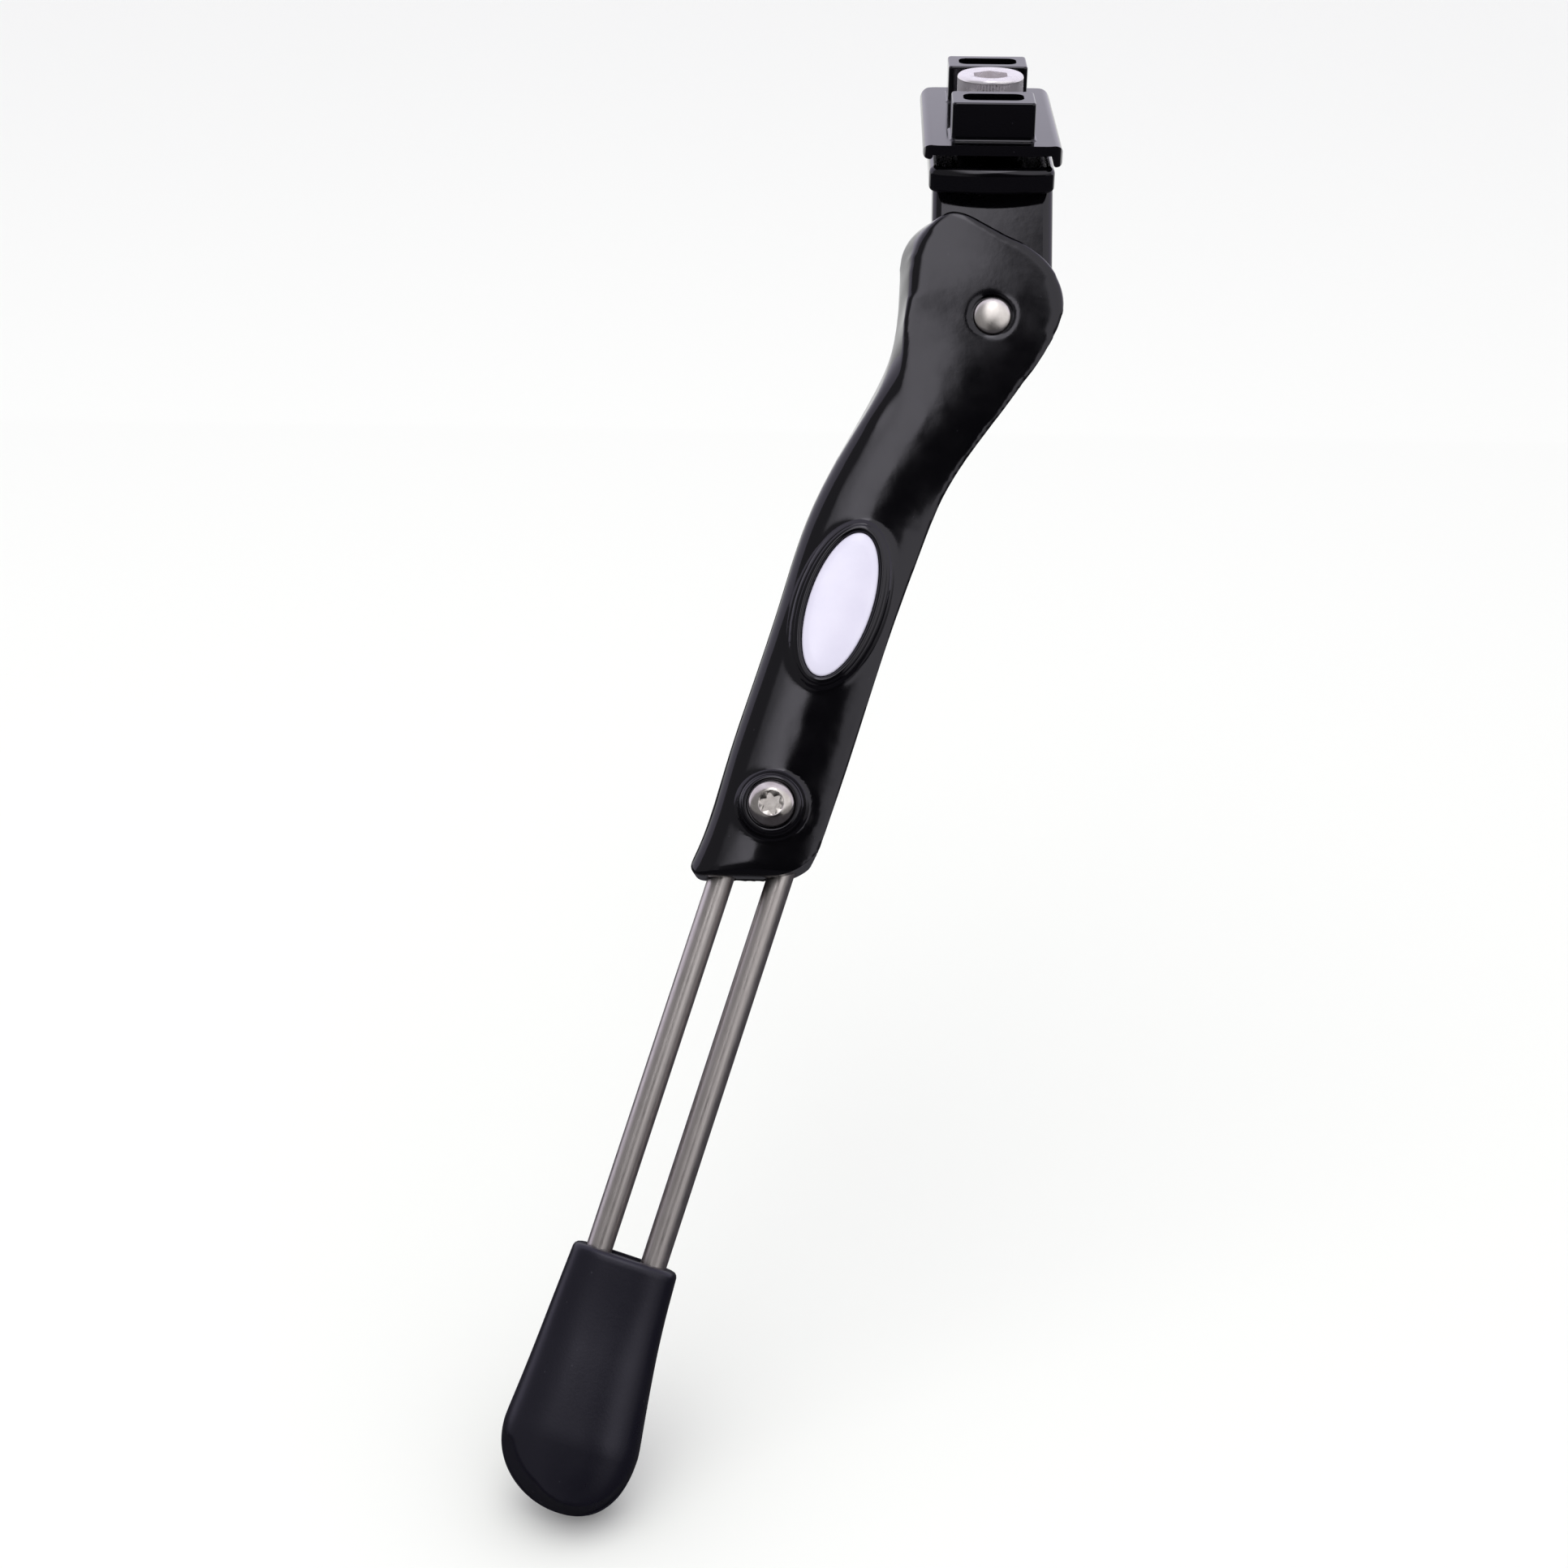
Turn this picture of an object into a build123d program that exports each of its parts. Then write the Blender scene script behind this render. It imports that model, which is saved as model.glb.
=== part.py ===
# Adjustable centre-mount bicycle kickstand, leg down, in millimetres.
# The origin is on the clamp bolt's axis, at the base's seat under the chainstays.
# +Z is up, -Y is out to the bicycle's left side and +X is towards its rear.
import os
from math import cos, radians, sin

from build123d import *

os.makedirs("parts", exist_ok=True)

# Clearances
turn_clearance = 0.05
slide_clearance = 0.1
stop_clearance = 0.2
cheek_clearance = 0.3

# Clamp bolt: M10 socket cap
bolt_diameter = 10.0
bolt_length = 40.0
bolt_head_diameter = 16.0
bolt_head_height = 10.0
bolt_socket = 8.0
bolt_socket_depth = 5.0
bolt_edge = 0.9

# Top plate over the chainstays
plate_width = 32.6
plate_length = 60.0
plate_thickness = 2.3
plate_corner = 4.0
front_bend = 2.2
rear_bend = 3.6
lip_gap = 0.3
front_lip = 3.4
ear_width = 19.4
ear_depth = 12.4
ear_height = 8.8
ear_spacing = 38.6
ear_corner = 1.0
ear_slot_width = 14.2
ear_slot_depth = 6.8
ear_slot_corner = 2.2
ear_floor = 1.2

# Cast base under the chainstays
flange_width = 29.4
flange_front = 31.0
flange_back = 29.0
flange_bulge = 2.2
flange_thickness = 6.0
flange_corner = 3.0
flange_edge = 1.8
flange_foot = 1.2
collar_diameter = 17.0
collar_height = 3.0
tapped_boss_diameter = 19.0
tapped_boss_depth = 24.0

# Pivot of the leg: its axis leans up from level as it points out
pivot_side = 0.5
pivot_out = 38.3
pivot_drop = 36.0
splay = 36.0
swing_range = 105.0
pin_diameter = 8.0
pin_dome = 1.5
pin_recess = 0.9
pin_ring = 0.6
post_width = 28.4
post_taper = 12.0
knuckle_radius = 12.8
knuckle_thickness = 14.0
knuckle_edge = 2.4
knuckle_room = 0.5

# Spring detent between the leg and the knuckle
detent_lean = 25.0
plunger_diameter = 8.5
plunger_length = 14.4
plunger_gap = 0.15
plunger_round = 4.0
notch_radius = 4.6
notch_depth = 1.1
spring_wire = 1.1
spring_diameter = 8.0
spring_turns = 6
spring_length = 17.0

# Leg housing
leg_lean = 16.74
leg_offset = 13.3
cheek_thickness = 4.0
tube_width = 27.3
tube_depth = 18.6
tube_edge = 6.0
tube_lean = 0.75
tube_draft = 1.6
tube_crown = 1.0
tube_start = 78.0
tube_spare = 12.6
side_round = 5.0
rear_edge = 1.2
back_edge = 2.5
head_draft = 4.0
head_crown = 0.04
straight_from = 80.0
bottom_front = 145.4
bottom_rear = 137.2
corner_front = 2.5
corner_rear = 10.0
bottom_edge = 2.4
head_edge = 1.4
head_lift = 0.05
top_lobe_radius = 11.3
top_lobe_x = -10.2
top_lobe_y = 15.2
top_lobe_draft = 1.3
top_lobe_shift = 0.6
pivot_lobe_radius = 17.5
pivot_lobe_y = 2.0
pivot_lobe_draft = 0.6

# Oval rim and badge
badge_along = 75.5
badge_across = 0.6
badge_length = 35.0
badge_width = 14.8
badge_thickness = 1.5
badge_dome = 0.7
badge_proud = 0.2
rim_width = 2.7
rim_height = 0.9
rim_edge = 0.7
rim_spread = 1.6

# Rods and the screw that fixes them
rod_diameter = 6.0
rod_spacing = 12.9
rod_grip = 8.4
rod_in_foot = 31.0
rod_edge = 0.5
retract_range = 45.0
extend_range = 10.0
screw_along = 124.4
screw_diameter = 6.0
screw_head_diameter = 10.5
screw_head_height = 3.0
screw_crown = 6.4
screw_rim = 0.5
screw_socket = 5.6
screw_lobe = 0.8
screw_socket_depth = 2.2
boss_top_diameter = 14.0
boss_diameter = 20.0
boss_height = 2.2
boss_edge = 0.8
block_width = 13.0
block_length = 12.0
block_depth = 5.6
block_gap = 0.8
block_travel = 0.8
block_room = 0.3
screw_end = 0.4

# Rubber foot: widths and depths down the leg
foot_top = 231.0
foot_top_width = 24.4
foot_top_depth = 13.0
foot_waist_drop = 14.0
foot_waist_width = 25.9
foot_waist_depth = 13.6
foot_swell_drop = 13.6
foot_swell_width = 28.4
foot_swell_depth = 16.5
foot_swell_shift = 0.5
foot_bulge_drop = 13.4
foot_bulge_width = 30.8
foot_bulge_depth = 19.0
foot_bulge_shift = 1.0
foot_tip_drop = 17.3
foot_corner = 5.0
foot_rim = 1.2
sole_bevel = 2.6
sole_lift = 0.05

# Heights that follow from the sizes above
plate_underside = collar_height
plate_top = plate_underside + plate_thickness
rear_lip = plate_top - lip_gap
bolt_radius = bolt_diameter / 2
pin_radius = pin_diameter / 2
rod_radius = rod_diameter / 2
knuckle_half = knuckle_thickness / 2
fork_half = knuckle_half + cheek_clearance
cheek_face = fork_half + cheek_thickness
tube_half = tube_depth / 2
tube_side = tube_width / 2
tube_face = tube_side - tube_lean
boss_seat = tube_half + boss_height
rim_face = tube_half + rim_height
badge_floor = rim_face + badge_proud - badge_thickness
post_room = post_width / 2 + stop_clearance
plunger_nose = knuckle_radius + plunger_gap
plunger_tail = plunger_nose + plunger_length
detent_end = plunger_tail + spring_length
screw_radius = screw_diameter / 2
screw_top = boss_seat + screw_head_height
rod_half = rod_spacing / 2
rod_fit = rod_radius + slide_clearance
block_front = -block_gap
block_back = block_front - block_depth
rod_top = screw_along - block_length / 2 - extend_range - rod_grip
rod_bottom = foot_top + rod_in_foot
foot_waist = foot_top + foot_waist_drop
foot_swell = foot_waist + foot_swell_drop
foot_bulge = foot_swell + foot_bulge_drop
foot_tip = foot_bulge + foot_tip_drop

# The swing plane holds the leg: x to the rear, y up along the post, z out along the pivot axis.
pivot_axis = Vector(0, -cos(radians(splay)), sin(radians(splay)))
swing = Plane(origin=(pivot_side, -pivot_out, -pivot_drop), x_dir=(1, 0, 0), z_dir=pivot_axis)


def down_leg(lean):
    """Direction down the leg in the swing plane, for a lean towards the front."""
    return swing.x_dir * -sin(radians(lean)) - swing.y_dir * cos(radians(lean))


def across_leg(lean):
    """Direction across the leg in the swing plane, towards the rear."""
    return swing.x_dir * cos(radians(lean)) - swing.y_dir * sin(radians(lean))


def section_plane(x, y, lean):
    """Plane square to the leg at a point of the swing plane, with y out along the pivot axis."""
    return Plane(origin=swing.from_local_coords((x, y, 0)), x_dir=across_leg(lean), z_dir=down_leg(lean))


# The rods' own plane: x across the leg, y up the leg from abreast of the pivot.
leg_origin = swing.origin - across_leg(leg_lean) * leg_offset
leg = Plane(origin=leg_origin, x_dir=across_leg(leg_lean), z_dir=pivot_axis)
detent = Plane(origin=swing.origin, x_dir=pivot_axis, z_dir=down_leg(detent_lean))


def leg_section(along):
    """Plane square to the rods at a distance down the leg."""
    return Plane(origin=leg_origin + down_leg(leg_lean) * along, x_dir=across_leg(leg_lean),
                 z_dir=down_leg(leg_lean))


# Top plate: bent section, rounded in plan, with two pocketed ears
with BuildPart() as top_plate:
    middle = plate_top - plate_thickness / 2
    side = plate_width / 2 - plate_thickness / 2
    with BuildSketch(Plane.XZ):
        with BuildLine():
            FilletPolyline(
                (-side, plate_top - front_lip + plate_thickness / 2),
                (-side, middle),
                (side, middle),
                (side, plate_top - rear_lip + plate_thickness / 2),
                radius=[front_bend - plate_thickness / 2, rear_bend - plate_thickness / 2],
            )
            offset(amount=plate_thickness / 2)
        make_face()
    extrude(amount=plate_length / 2, both=True)
    with BuildSketch(Plane.XY.offset(plate_top - rear_lip)):
        RectangleRounded(plate_width, plate_length, plate_corner)
    extrude(amount=2 * rear_lip, mode=Mode.INTERSECT)
    with BuildSketch(Plane.XY.offset(middle)):
        with GridLocations(0, ear_spacing, 1, 2):
            RectangleRounded(ear_width, ear_depth, ear_corner)
    extrude(amount=plate_thickness / 2 + ear_height)
    fillet(top_plate.faces().sort_by(Axis.Z)[-2:].edges(), radius=ear_corner * 0.6)
    with BuildSketch(Plane.XY.offset(plate_top + ear_height)):
        with GridLocations(0, ear_spacing, 1, 2):
            RectangleRounded(ear_slot_width, ear_slot_depth, ear_slot_corner)
    extrude(amount=ear_floor - ear_height, mode=Mode.SUBTRACT)
    with Locations((0, 0, plate_top)):
        Hole(radius=bolt_radius + slide_clearance, depth=plate_thickness)
top_plate.part.label = "top_plate"
export_step(top_plate.part, "parts/top_plate.step")

# Clamp bolt: turned head with a hexagon socket
with BuildPart() as clamp_bolt:
    with BuildSketch(Plane.XY.offset(plate_top)):
        Circle(bolt_head_diameter / 2)
    extrude(amount=bolt_head_height)
    fillet(clamp_bolt.edges().sort_by(Axis.Z)[-1], radius=bolt_edge)
    with BuildSketch(Plane.XY.offset(plate_top)):
        Circle(bolt_radius)
    extrude(amount=-bolt_length)
    chamfer(clamp_bolt.edges().sort_by(Axis.Z)[0], length=bolt_edge)
    with BuildSketch(Plane.XY.offset(plate_top + bolt_head_height)):
        RegularPolygon(radius=bolt_socket / 2, side_count=6, major_radius=False)
    extrude(amount=-bolt_socket_depth, mode=Mode.SUBTRACT)
clamp_bolt.part.label = "clamp_bolt"
export_step(clamp_bolt.part, "parts/clamp_bolt.step")

# Flange of the base: bowed at the front and rounded all over
with BuildPart() as flange:
    with BuildSketch(Plane.XY) as flange_outline:
        with BuildLine():
            bow = ThreePointArc(
                (-flange_width / 2, -flange_front + flange_bulge),
                (0, -flange_front),
                (flange_width / 2, -flange_front + flange_bulge),
            )
            Polyline(bow @ 1, (flange_width / 2, flange_back), (-flange_width / 2, flange_back), bow @ 0)
        make_face()
        fillet(flange_outline.vertices(), radius=flange_corner)
    extrude(amount=-flange_thickness)
    fillet(flange.faces().sort_by(Axis.Z)[-1].edges(), radius=flange_edge)
    fillet(flange.faces().sort_by(Axis.Z)[0].edges(), radius=flange_foot)

# Mount base: post and knuckle on the swing plane, flange and collar level under the chainstays
with BuildPart() as mount_base:
    post_length = (pivot_drop + knuckle_half) / cos(radians(splay))
    with BuildSketch(swing):
        Circle(knuckle_radius)
        with Locations((0, post_taper)):
            Rectangle(post_width, post_length - post_taper, align=(Align.CENTER, Align.MIN))
        make_hull()
    extrude(amount=knuckle_half, both=True)
    fillet(mount_base.faces().filter_by(swing).edges(), radius=knuckle_edge)
    split(bisect_by=Plane.XY.offset(-flange_thickness / 2), keep=Keep.BOTTOM)
    add(flange.part)
    with BuildSketch(Plane.XY.offset(-flange_thickness / 2)):
        Circle(tapped_boss_diameter / 2)
    extrude(amount=-tapped_boss_depth + flange_thickness / 2)
    with BuildSketch(Plane.XY):
        Circle(collar_diameter / 2)
    extrude(amount=collar_height)
    with Locations((0, 0, collar_height)):
        Hole(radius=bolt_radius + turn_clearance)
    with BuildSketch(swing):
        Circle(pin_radius + turn_clearance)
    extrude(amount=knuckle_thickness, both=True, mode=Mode.SUBTRACT)
    notch_reach = knuckle_radius + notch_radius - notch_depth
    with BuildSketch(swing):
        notch_angle = -90 - detent_lean
        with PolarLocations(notch_reach, 2, start_angle=notch_angle, angular_range=swing_range, endpoint=True):
            Circle(notch_radius)
    extrude(amount=knuckle_thickness, both=True, mode=Mode.SUBTRACT)
mount_base.part.label = "mount_base"
export_step(mount_base.part, "parts/mount_base.step")


def housing_section(place, front, front_face, rear_face, draft, half_depth, edge, crown):
    """Section of the housing: crowned out face, front side that bulges, rear side drawn in to the back."""
    with BuildSketch(place) as section:
        with BuildLine():
            face = ThreePointArc(
                (-front_face, half_depth - crown),
                ((rear_face - front_face) / 2, half_depth),
                (rear_face, half_depth - crown),
            )
            Polyline(
                face @ 1,
                (rear_face - draft, -half_depth),
                (-front_face, -half_depth),
                (-front, 0),
                face @ 0,
            )
        make_face()
        corners = section.vertices().sort_by(Axis(place.origin, place.x_dir))
        fillet(corners[0], radius=side_round)
        fillet(corners[1:3], radius=edge)
        fillet(corners[3], radius=back_edge)
        fillet(corners[4], radius=rear_edge)
    return section.sketch


# Stations down the bend: x, y and lean, then widths to the front and at the faces, draft of the rear side,
# half depth, rounding and crown
bend_stations = [
    (0.0, 32.0, 0.0, 21.4, 19.7, 19.0, head_draft, cheek_face, 1.6, head_crown),
    (0.0, 12.0, 0.0, 21.6, 19.4, 19.0, head_draft, cheek_face, 1.6, head_crown),
    (-1.5, 1.0, 6.0, 20.6, 17.9, 17.7, head_draft, cheek_face, 1.8, head_crown),
    (-8.0, -9.9, 20.7, 16.0, 13.3, 16.6, head_draft, cheek_face - 0.3, 2.8, 0.2),
    (-14.95, -22.7, 30.0, 14.0, 11.7, 14.3, 3.4, cheek_face - 1.0, 4.0, 0.5),
    (-23.15, -37.5, 24.0, 13.6, 12.2, 13.6, 2.4, tube_half + 0.3, 5.2, 0.8),
    (-29.15, -50.75, leg_lean, 13.6, 12.9, 14.4, 1.8, tube_half, tube_edge, tube_crown),
]
tube_step = (bottom_front + tube_spare - tube_start) / 4
tube_stations = [tube_start + tube_step * step for step in range(5)]
tube_shape = (tube_side, tube_face, tube_side, tube_draft, tube_half, tube_edge, tube_crown)

# Outline of the housing seen along the pivot axis: two lobes at the head, all of the leg below
with BuildPart() as housing_outline:
    face_height = cheek_face + head_lift
    for height, part_drawn in ((-face_height, 1), (0, 0), (face_height, 1)):
        with BuildSketch(swing.offset(height)):
            with Locations((0, pivot_lobe_y)):
                Circle(pivot_lobe_radius - pivot_lobe_draft * part_drawn)
            with Locations((top_lobe_x + top_lobe_shift * part_drawn, top_lobe_y)):
                Circle(top_lobe_radius - top_lobe_draft * part_drawn)
            make_hull()
    loft(ruled=True)
    fillet(housing_outline.faces().filter_by(swing).edges(), radius=head_edge)
    with BuildSketch(swing):
        with Locations((0, pivot_lobe_y)):
            Rectangle(2 * bottom_front, 2 * bottom_front, align=(Align.CENTER, Align.MAX))
        with Locations((top_lobe_x, top_lobe_y)):
            Rectangle(bottom_front, bottom_front, align=(Align.MAX, Align.MAX))
    extrude(amount=2 * cheek_face, both=True)
    with BuildSketch(leg):
        side = tube_side + slide_clearance
        with BuildLine():
            FilletPolyline(
                (-side, -straight_from),
                (-side, -bottom_front),
                (side, -bottom_rear),
                (side, -straight_from),
                radius=[corner_front, corner_rear],
            )
            Line((side, -straight_from), (-side, -straight_from))
        make_face()
        with Locations((0, -straight_from)):
            Rectangle(2 * bottom_front, 2 * bottom_front, align=(Align.CENTER, Align.MIN))
    extrude(amount=2 * cheek_face, both=True, mode=Mode.INTERSECT)

# Oval rim round the badge and boss under the screw's head
with BuildPart() as face_details:
    for height, spread in ((tube_half / 2, rim_width + rim_spread), (rim_face, rim_width)):
        with BuildSketch(leg.offset(height)):
            with Locations((badge_across, -badge_along)):
                Ellipse(badge_width / 2 + spread, badge_length / 2 + spread)
    loft()
    fillet(face_details.faces().sort_by(Axis(leg_origin, pivot_axis))[-1].edges(), radius=rim_edge)
    for height, diameter in ((tube_half / 2, boss_diameter), (boss_seat, boss_top_diameter)):
        with BuildSketch(leg.offset(height)):
            with Locations((0, -screw_along)):
                Circle(diameter / 2)
    loft()
    fillet(face_details.faces().sort_by(Axis(leg_origin, pivot_axis))[-1].edges(), radius=boss_edge)

bottom_slope = (bottom_front - bottom_rear) / (tube_width + 2 * slide_clearance)
bottom_line = (leg.x_dir + leg.y_dir * bottom_slope).normalized()

# Leg housing: bent body, forked above for the knuckle and hollow below for the rods
with BuildPart() as leg_housing:
    loft(
        sections=[
            *[housing_section(section_plane(x, y, lean), *shape) for x, y, lean, *shape in bend_stations],
            *[housing_section(leg_section(along), *tube_shape) for along in tube_stations],
        ]
    )
    add(housing_outline.part, mode=Mode.INTERSECT)
    add(face_details.part)
    with BuildSketch(leg.offset(badge_floor)):
        with Locations((badge_across, -badge_along)):
            Ellipse(badge_width / 2, badge_length / 2)
    extrude(amount=badge_thickness, mode=Mode.SUBTRACT)
    # Lower edge of the out face and of the back, rounded off
    for side in (1, -1):
        edge_middle = leg.from_local_coords((0, -(bottom_front + bottom_rear) / 2, side * tube_half))
        with BuildSketch(Plane(origin=edge_middle, x_dir=pivot_axis * side, z_dir=bottom_line * side)):
            with Locations((-bottom_edge, -bottom_edge)):
                Rectangle(2 * bottom_edge, 2 * bottom_edge, align=(Align.MIN, Align.MIN))
                Circle(bottom_edge, mode=Mode.SUBTRACT)
        extrude(amount=tube_width, both=True, mode=Mode.SUBTRACT)
    # Fork slot: open to the rear through the swing, closed in front as the stop
    with BuildSketch(swing):
        Circle(knuckle_radius + knuckle_room)
        with Locations((-post_room, 0)):
            Rectangle(bottom_front, bottom_front, align=(Align.MIN, Align.MIN))
        Rectangle(bottom_front, 2 * post_room, rotation=90 - swing_range, align=(Align.MIN, Align.CENTER))
    extrude(amount=fork_half, both=True, mode=Mode.SUBTRACT)
    with BuildSketch(swing):
        Circle(pin_radius)
    extrude(amount=cheek_face, both=True, mode=Mode.SUBTRACT)
    with BuildSketch(swing.offset(cheek_face), swing.offset(-cheek_face)):
        Circle(pin_radius + pin_ring)
    extrude(amount=pin_recess, both=True, mode=Mode.SUBTRACT)
    # Bore of the detent
    with BuildSketch(detent):
        Circle(plunger_diameter / 2 + turn_clearance)
    extrude(amount=detent_end, mode=Mode.SUBTRACT)
    # Channels of the rods, cavity of the clamp block and hole of its screw
    with BuildSketch(leg_section(rod_top - retract_range - block_gap)):
        with GridLocations(rod_spacing, 0, 2, 1):
            Circle(rod_fit)
    extrude(amount=bottom_front, mode=Mode.SUBTRACT)
    with BuildSketch(leg_section(screw_along - block_length / 2 - block_room)):
        with Locations((0, block_front + block_room)):
            Rectangle(
                block_width + 2 * block_room,
                block_depth + block_travel + 2 * block_room,
                align=(Align.CENTER, Align.MAX),
            )
    extrude(amount=bottom_front, mode=Mode.SUBTRACT)
    with BuildSketch(leg.offset(block_front)):
        with Locations((0, -screw_along)):
            Circle(screw_radius + slide_clearance)
    extrude(amount=boss_seat - block_front, mode=Mode.SUBTRACT)
leg_housing.part.label = "leg_housing"
export_step(leg_housing.part, "parts/leg_housing.step")

# Pivot pin: riveted over at both cheeks
with BuildPart() as pivot_pin:
    pin_seat = cheek_face - pin_recess
    with BuildSketch(Plane(origin=swing.origin, x_dir=swing.x_dir, z_dir=swing.y_dir)):
        with BuildLine():
            near = TangentArc((0, pin_seat + pin_dome), (pin_radius, pin_seat), tangent=(1, 0))
            far = TangentArc((0, -pin_seat - pin_dome), (pin_radius, -pin_seat), tangent=(1, 0))
            Line(near @ 1, far @ 1)
            Line(near @ 0, far @ 0)
        make_face()
    revolve(axis=Axis(swing.origin, pivot_axis))
pivot_pin.part.label = "pivot_pin"
export_step(pivot_pin.part, "parts/pivot_pin.step")

# Badge: bare oval plate
with BuildPart() as badge:
    with BuildSketch(leg.offset(badge_floor)):
        with Locations((badge_across, -badge_along)):
            Ellipse(badge_width / 2, badge_length / 2)
    extrude(amount=badge_thickness)
    fillet(badge.faces().sort_by(Axis(leg_origin, pivot_axis))[-1].edges(), radius=badge_dome)
badge.part.label = "badge"
export_step(badge.part, "parts/badge.step")

# Detent plunger: round nose towards the knuckle
with BuildPart() as detent_plunger:
    with BuildSketch(detent.offset(plunger_nose)):
        Circle(plunger_diameter / 2)
    extrude(amount=plunger_length)
    fillet(detent_plunger.edges().sort_by(Axis(swing.origin, down_leg(detent_lean)))[0], radius=plunger_round)
detent_plunger.part.label = "detent_plunger"
export_step(detent_plunger.part, "parts/detent_plunger.step")

# Detent spring: open coil between the plunger and the bore's end
with BuildPart() as detent_spring:
    coil_height = spring_length - spring_wire
    with BuildLine():
        coil = Helix(
            pitch=coil_height / spring_turns,
            height=coil_height,
            radius=(spring_diameter - spring_wire) / 2,
            center=swing.origin + down_leg(detent_lean) * (plunger_tail + spring_wire / 2),
            direction=down_leg(detent_lean),
        )
    with BuildSketch(Plane(origin=coil @ 0, z_dir=coil % 0)):
        Circle(spring_wire / 2)
    sweep(path=coil, is_frenet=True)
detent_spring.part.label = "detent_spring"
export_step(detent_spring.part, "parts/detent_spring.step")

# Leg rod: one hairpin of round bar
with BuildPart() as leg_rod:
    with BuildLine(leg):
        Line((-rod_half, -rod_top), (-rod_half, -rod_bottom))
        CenterArc((0, -rod_bottom), rod_half, 180, 180)
        Line((rod_half, -rod_bottom), (rod_half, -rod_top))
    with BuildSketch(leg_section(rod_top)):
        with Locations((-rod_half, 0)):
            Circle(rod_radius)
    sweep()
    chamfer(leg_rod.edges().group_by(Axis(leg_origin, down_leg(leg_lean)))[0], length=rod_edge)
leg_rod.part.label = "leg_rod"
export_step(leg_rod.part, "parts/leg_rod.step")

# Clamp block: pulled on to the rods by the screw
with BuildPart() as clamp_block:
    with BuildSketch(leg_section(screw_along - block_length / 2)):
        with Locations((0, block_front)):
            Rectangle(block_width, block_depth, align=(Align.CENTER, Align.MAX))
        with GridLocations(rod_spacing, 0, 2, 1):
            Circle(rod_fit, mode=Mode.SUBTRACT)
    extrude(amount=block_length)
    with BuildSketch(leg):
        with Locations((0, -screw_along)):
            Circle(screw_radius + turn_clearance)
    extrude(amount=-tube_half, mode=Mode.SUBTRACT)
clamp_block.part.label = "clamp_block"
export_step(clamp_block.part, "parts/clamp_block.step")

# Clamp screw: button head with a six-lobe socket
with BuildPart() as clamp_screw:
    head_radius = screw_head_diameter / 2
    tip = block_back - screw_end
    with BuildSketch(leg_section(screw_along)):
        with BuildLine():
            crown = Line((0, screw_top), (screw_crown / 2, screw_top))
            dome = TangentArc(crown @ 1, (head_radius, boss_seat + screw_rim), tangent=(1, 0))
            Polyline(
                dome @ 1,
                (head_radius, boss_seat),
                (screw_radius, boss_seat),
                (screw_radius, tip + screw_rim),
                (screw_radius - screw_rim, tip),
                (0, tip),
                (0, screw_top),
            )
        make_face()
    revolve(axis=Axis(leg_section(screw_along).origin, pivot_axis))
    with BuildSketch(leg.offset(screw_top)):
        with Locations((0, -screw_along)):
            Circle(screw_socket / 2 - screw_lobe)
            with PolarLocations(screw_socket / 2 - screw_lobe, 6):
                Circle(screw_lobe)
    extrude(amount=-screw_socket_depth, mode=Mode.SUBTRACT)
clamp_screw.part.label = "clamp_screw"
export_step(clamp_screw.part, "parts/clamp_screw.step")


def foot_section(along, shift, width, depth):
    """Rounded section of the foot at a distance down the leg."""
    with BuildSketch(leg_section(along)) as section:
        with Locations((shift, 0)):
            RectangleRounded(width, depth, foot_corner)
    return section.sketch


# Outline of the foot seen along the pivot axis, bevelled round the sole
with BuildPart() as foot_outline:
    with BuildSketch(leg):
        with Locations((foot_bulge_shift, -foot_bulge)):
            Ellipse(foot_bulge_width / 2 + sole_lift, foot_tip - foot_bulge)
            Rectangle(foot_bulge_width + 2 * sole_lift, foot_tip - foot_top, align=(Align.CENTER, Align.MIN))
    extrude(amount=foot_bulge_depth / 2 + sole_lift, both=True)
    chamfer(foot_outline.faces().filter_by(leg).edges().filter_by(GeomType.ELLIPSE), length=sole_bevel)

# Rubber foot: spade-shaped sleeve over the hairpin
with BuildPart() as rubber_foot:
    loft(
        sections=[
            foot_section(foot_top, 0, foot_top_width, foot_top_depth),
            foot_section(foot_waist, 0, foot_waist_width, foot_waist_depth),
            foot_section(foot_swell, foot_swell_shift, foot_swell_width, foot_swell_depth),
            foot_section(foot_bulge, foot_bulge_shift, foot_bulge_width, foot_bulge_depth),
            foot_section(foot_tip, foot_bulge_shift, foot_bulge_width, foot_bulge_depth),
        ]
    )
    add(foot_outline.part, mode=Mode.INTERSECT)
    fillet(rubber_foot.faces().sort_by(Axis(leg_origin, down_leg(leg_lean)))[0].edges(), radius=foot_rim)
    with BuildSketch(leg_section(foot_top)):
        SlotOverall(rod_spacing + rod_diameter, rod_diameter)
    extrude(amount=rod_bottom + rod_half + rod_radius - foot_top, mode=Mode.SUBTRACT)
rubber_foot.part.label = "rubber_foot"
export_step(rubber_foot.part, "parts/rubber_foot.step")
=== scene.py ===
# Looks of an adjustable bicycle kickstand: gloss black castings, bright fasteners and bar, rubber foot.
# Lengths are written in millimetres and turned into metres as each piece takes its place.
from math import atan2, cos, exp, pi, radians, sin

import bmesh
import bpy
from mathutils import Matrix, Vector


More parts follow.
